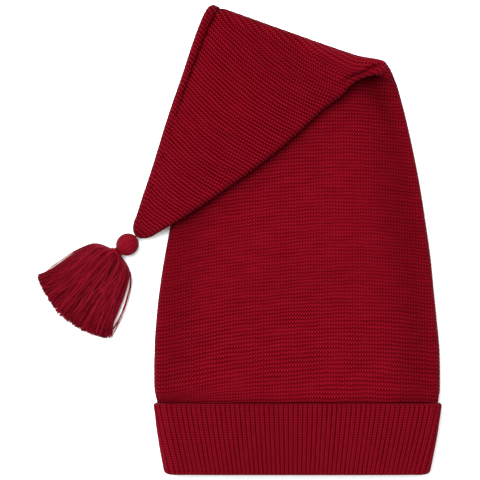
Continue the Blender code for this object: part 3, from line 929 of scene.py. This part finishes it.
tassel = {
    "headLength": 0.0152,
    "headWidth": 0.0142,
    "neckRadius": 0.0032,
    "neckLength": 0.0022,
    "neckOut": 0.65,
    "neckSink": 0.06,
    "lockDepth": 0.0007,
    "skirtLength": 0.0562,
    "skirtWidth": 0.0645,
    "skirtDepth": 0.012,
    "skirtSettle": 0.12,
    "headTurn": math.radians(-2.5),
    "neckTurn": math.radians(-14.4),
    "skirtTurn": math.radians(3.0),
    "skirt": (  # share of the length, half width and half depth in shares
        (0.00, 0.10, 0.55), (0.04, 0.35, 0.82), (0.09, 0.48, 0.98),
        (0.20, 0.59, 1.00), (0.38, 0.68, 0.94), (0.58, 0.77, 0.82),
        (0.80, 0.87, 0.68), (1.00, 1.00, 0.52),
    ),
    "skirtThreads": 1500,
    "headThreads": 66,
    "threadRadius": 0.00021,
    "headThreadRadius": 0.00042,
    "clumps": 90,
    "strays": 18,
    "crossings": 100,
    "seed": 11,
    "skirtShades": (-0.20, 0.95),  # darkest and lightest thread
    "strayShades": (0.3, 0.8),
    "crossingShades": (0.3, 1.3),
    "headShades": (0.35, 0.80),
    "bindingShades": (0.5, 0.5),
    "coreShade": 0.3,
    "core": ((0.05, 0.86), (0.10, 0.86), (0.2, 0.86), (0.38, 0.86), (0.58, 0.86), (0.75, 0.86), (0.88, 0.72)),
    "bindingRadius": 0.00392,
    "bindingHalf": 0.00075,
    "bindingThread": 0.00040,
    "yarn": {"Deep": (0.022, 0.0002, 0.0006, 1), "Crest": (0.160, 0.0040, 0.0128, 1), "Drift": 0.1},
    "surface": {"Roughness": 0.5, "Specular IOR Level": 0.14, "Specular Tint": (1.0, 0.1, 0.25, 1),
                "Sheen Weight": 0.02, "Sheen Tint": (1.0, 0.2, 0.4, 1)},
}


def turned(heading, angle):
    return np.array([heading[0] * math.cos(angle) - heading[1] * math.sin(angle),
                     heading[0] * math.sin(angle) + heading[1] * math.cos(angle), 0.0])


def tasselPlaces():  # the head lies on the surface and touches the hat's tip
    half = foldDepth / 2
    backUp = hatLength - tipRound
    roll = np.array(foldOver(middleAt(hatLength), hatLength - half, half))
    back = np.array(foldOver(middleAt(backUp), backUp - tipRound, half))
    heading = (roll - back)[:2] / np.linalg.norm((roll - back)[:2])
    headHalf = tassel["headLength"] / 2
    apart = math.sqrt((headHalf + half + clearance) ** 2 - (headHalf - roll[2]) ** 2)
    centre = np.array([*roll[:2], 0.0]) + turned(heading, tassel["headTurn"]) * apart
    centre[2] = (tassel["headWidth"] + tassel["lockDepth"]) / 2
    toNeck = turned(heading, tassel["neckTurn"])
    neck = centre + toNeck * (headHalf + tassel["neckLength"] * tassel["neckOut"])
    neck[2] = centre[2] - tassel["headWidth"] * tassel["neckSink"]
    return centre, toNeck, neck, turned(heading, tassel["skirtTurn"])


headCentre, toNeck, neckPlace, forward = tasselPlaces()
skirtWide, skirtDeep = (smoothTable(tassel["skirt"], column) for column in (1, 2))


def sideways(direction):
    return np.array([-direction[1], direction[0], 0.0])


def aroundAxis(middle, axis, along, radius, angle):
    spot = middle[None] + np.outer(along, axis) + np.outer(radius * np.cos(angle), sideways(axis))
    spot[:, 2] += radius * np.sin(angle)
    return spot


def skirtPoint(along, across, deep):  # along 0..1, across and deep from -1 to 1
    half = tassel["skirtDepth"] / 2 * skirtDeep(along)
    reach = across * tassel["skirtWidth"] / 2 * skirtWide(along)
    length = tassel["skirtLength"]
    back = along * (1 - np.sqrt(1 - np.clip(reach / length, -0.9, 0.9) ** 2)) * length
    settled = ease(along / tassel["skirtSettle"])
    middle = neckPlace[2] * (1 - settled) + (half + tassel["lockDepth"] * 0.8) * settled
    spot = neckPlace[None] + np.outer(along * length - back, forward) + np.outer(reach, sideways(forward))
    spot[:, 2] = middle + half * deep
    return spot


def threadTree():
    wire, given = openGeometry("threads", {
        "Thread Radius": "Float", "Sides": "Int", "Darkest": "Float", "Lightest": "Float", "Seed": "Int"})
    ring = wire.out("GeometryNodeCurvePrimitiveCircle", {"Resolution": given["Sides"],
                                                         "Radius": given["Thread Radius"]})
    chance = wire.out("FunctionNodeRandomValue", {
        2: given["Darkest"], 3: given["Lightest"], "ID": wire.out("GeometryNodeInputIndex"),
        "Seed": given["Seed"]}, 1, data_type="FLOAT")
    shaded = wire.out("GeometryNodeStoreNamedAttribute", {
        "Geometry": given["Geometry"], "Name": "threadShade", "Value": chance}, domain="CURVE")
    swept = wire.out("GeometryNodeCurveToMesh", {"Curve": shaded, "Profile Curve": ring, "Fill Caps": True})
    return closeGeometry(wire, wire.out("GeometryNodeSetShadeSmooth", {"Geometry": swept}), given["Material"])


threads = threadTree()
threadLook = threadMaterial("tasselThread", tassel["surface"], tassel["yarn"])


def skirtLines(chance):
    clumpAcross = np.sort(chance.uniform(-1, 1, tassel["clumps"]))
    clumpReach = chance.uniform(0.985, 1.01, tassel["clumps"])
    steps = np.concatenate(([0.0, 0.03, 0.06, 0.10, 0.16], np.linspace(0.25, 1.0, 9)))
    for _ in range(tassel["skirtThreads"]):
        angle = chance.uniform(0, 2 * math.pi)
        rim = chance.uniform(0.55, 1.0) ** 0.5
        across = math.cos(angle) * rim
        deep = math.sin(angle) * rim * 0.95
        nearest = np.argmin(np.abs(clumpAcross - across))
        pull = 0.30 * (clumpAcross[nearest] - across)
        cross = chance.normal(0, 0.16) if deep > 0.5 and chance.uniform() < 0.30 else 0.0
        reach = clumpReach[nearest] * chance.uniform(0.965, 1.005) * (1 + 0.03 * across)
        sway = 0.025 * np.sin(steps * chance.uniform(3, 7) + chance.uniform(0, 6)) * steps
        drift = across + (pull + cross) * steps ** 1.5 + sway
        yield skirtPoint(steps * reach, np.clip(drift, -1.02, 1.02), deep)


def strayLines(chance):
    for _ in range(tassel["strays"]):
        across = -chance.uniform(0.9, 1.0) if chance.uniform() < 0.25 else chance.uniform(0.92, 1.02)
        steps = np.linspace(0.08, chance.uniform(0.8, 1.0), 14)
        bow = chance.uniform(0.04, 0.24) * np.sin(steps * math.pi)
        yield skirtPoint(steps, across * (1 + bow), chance.uniform(-0.3, 0.6))


def crossingLines(chance):  # single threads that lie slanting over the others
    for _ in range(tassel["crossings"]):
        across = chance.uniform(-0.85, 0.85)
        begin = chance.uniform(0.04, 0.60)
        steps = np.linspace(begin, min(begin + chance.uniform(0.25, 0.5), 0.97), 11)
        lean = chance.normal(0, 0.40)
        drift = np.clip(across + lean * (steps - begin), -0.96, 0.96)
        yield skirtPoint(steps, drift, 0.99 * np.sqrt(1 - drift ** 2))


def headShape(inset, neckInset, firstTurn, count):  # angles from tip to neck, and half sizes
    halfWidth, halfLength = (tassel[size] / 2 - inset for size in ("headWidth", "headLength"))
    last = math.pi - math.asin((tassel["neckRadius"] - neckInset) / halfWidth)
    return np.linspace(firstTurn, last, count), halfWidth, halfLength


def headLines():
    turns, halfWidth, halfLength = headShape(tassel["headThreadRadius"] * 0.6, 0.0, 0.10, 14)
    for index in range(tassel["headThreads"]):
        twist = 2 * math.pi * index / tassel["headThreads"] + 0.10 * np.sin(turns)
        radius = halfWidth * np.sin(turns) * (1 + 0.012 * math.sin(index * 2.4))
        yield aroundAxis(headCentre, toNeck, -halfLength * np.cos(turns), radius, twist)


def coreMesh():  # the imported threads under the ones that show
    steps = 24
    angles = np.arange(steps) * 2 * math.pi / steps
    inset = tassel["headThreadRadius"] * 1.1
    turns, halfWidth, halfLength = headShape(inset, inset, 0.12, 9)
    rings = [aroundAxis(headCentre, toNeck, -halfLength * math.cos(turn), halfWidth * math.sin(turn), angles)
             for turn in turns]
    for shift in (-0.4, 0.4):
        along = shift * tassel["neckLength"]
        rings.append(aroundAxis(neckPlace, forward, along, tassel["neckRadius"] - inset, angles))
    for along, shrink in tassel["core"]:
        across, deep = np.cos(angles) * shrink, np.sin(angles) * shrink
        rings.append(skirtPoint(np.full(steps, along), across, deep * 0.9))
    places = np.concatenate(rings)
    ends = [list(range(steps))[::-1], list(range(len(places) - steps, len(places)))]
    core = meshFromGrid("tasselCore", places, tubeFaces(len(rings), steps).tolist() + ends,
                        pointValues={"threadShade": np.full(len(places), tassel["coreShade"])})
    core.data.materials.append(threadLook)
    return core


def bindingLine():
    turns = 4
    steps = turns * 20
    along = np.linspace(-1, 1, steps) * tassel["bindingHalf"]
    angle = np.linspace(0, 2 * math.pi * turns, steps)
    yield aroundAxis(neckPlace, forward, along, tassel["bindingRadius"], angle)


def threadPiece(name, lines, radius, sides, shades):
    curve = bpy.data.curves.new(name, "CURVE")
    curve.dimensions = "3D"
    for points in lines:
        spline = curve.splines.new("POLY")
        spline.points.add(len(points) - 1)
        spline.points.foreach_set("co", np.insert(points, 3, 1.0, axis=1).astype(np.float32).ravel())
    return runTree(addObject(name, curve), threads, {
        "Thread Radius": radius, "Sides": sides, "Darkest": shades[0], "Lightest": shades[1],
        "Seed": tassel["seed"], "Material": threadLook})


def buildTassel():
    chance = np.random.default_rng(tassel["seed"])
    radius = tassel["threadRadius"]
    thin = radius * 0.8
    pieces = [threadPiece("tasselThreads", skirtLines(chance), radius, 4, tassel["skirtShades"]),
              threadPiece("tasselStrays", strayLines(chance), thin, 4, tassel["strayShades"]),
              threadPiece("tasselCrossings", crossingLines(chance), thin, 4, tassel["crossingShades"]),
              threadPiece("tasselHead", headLines(), tassel["headThreadRadius"], 6, tassel["headShades"]),
              coreMesh()]
    bpy.ops.object.select_all(action="DESELECT")
    for piece in pieces:
        piece.select_set(True)
    bpy.context.view_layer.objects.active = pieces[0]
    bpy.ops.object.join()
    finishPiece(pieces[0], "tassel")
    binding = threadPiece("tasselBinding", bindingLine(), tassel["bindingThread"], 8, tassel["bindingShades"])
    finishPiece(binding, "tassel_binding")


print("tassel")
buildTassel()


# Studio: pale floor, soft light, camera straight above

studio = {
    "metresPerPixel": 0.00066,
    "frameMiddle": (240, 240),
    "mouthPixel": (297, 475),  # the middle of the mouth's edge in the photograph
    "frameSize": 480,
    "lens": 120.0,
    "sensor": 36.0,
    "focusHeight": 0.0115,
    "floor": {"Base Color": (0.96, 0.96, 0.96, 1), "Roughness": 0.9, "Specular IOR Level": 0.0},
    "world": {"Color": (1, 1, 1, 1), "Strength": 0.84},
    "lights": (  # name, place, size, power
        ("keyLight", (-0.40, 0.45, 1.25), 0.9, 40.0),
        ("fillLight", (0.8, -0.3, 1.3), 1.2, 4.5),
    ),
}


def setInputs(holder, nodeName, values):
    holder.use_nodes = True
    for label, value in values.items():
        holder.node_tree.nodes[nodeName].inputs[label].default_value = value


def buildStudio():
    scene = bpy.context.scene
    scene.view_settings.view_transform = "Standard"
    scene.world = bpy.data.worlds.new("studioLight")
    setInputs(scene.world, "Background", studio["world"])
    bpy.ops.mesh.primitive_plane_add(size=4.0, location=(0, 0, 0))
    floor = bpy.context.object
    floor.name = "floor"
    material = bpy.data.materials.new("floorPaint")
    setInputs(material, "Principled BSDF", studio["floor"])
    floor.data.materials.append(material)
    for name, place, size, power in studio["lights"]:
        light = bpy.data.lights.new(name, "AREA")
        light.size = size
        light.energy = power
        lamp = addObject(name, light)
        lamp.location = place
        lamp.rotation_euler = (-Vector(place)).to_track_quat("-Z", "Y").to_euler()
    step = studio["metresPerPixel"]
    middleX, middleY = studio["frameMiddle"]
    mouthX, mouthY = studio["mouthPixel"]
    data = bpy.data.cameras.new("camera")
    data.lens = studio["lens"]
    data.sensor_width = studio["sensor"]
    distance = studio["frameSize"] * step * studio["lens"] / studio["sensor"]
    camera = addObject("camera", data)
    camera.location = ((middleX - mouthX) * step, (mouthY - middleY) * step - originUp,
                       distance + studio["focusHeight"])
    scene.camera = camera


print("studio")
buildStudio()

print("done")
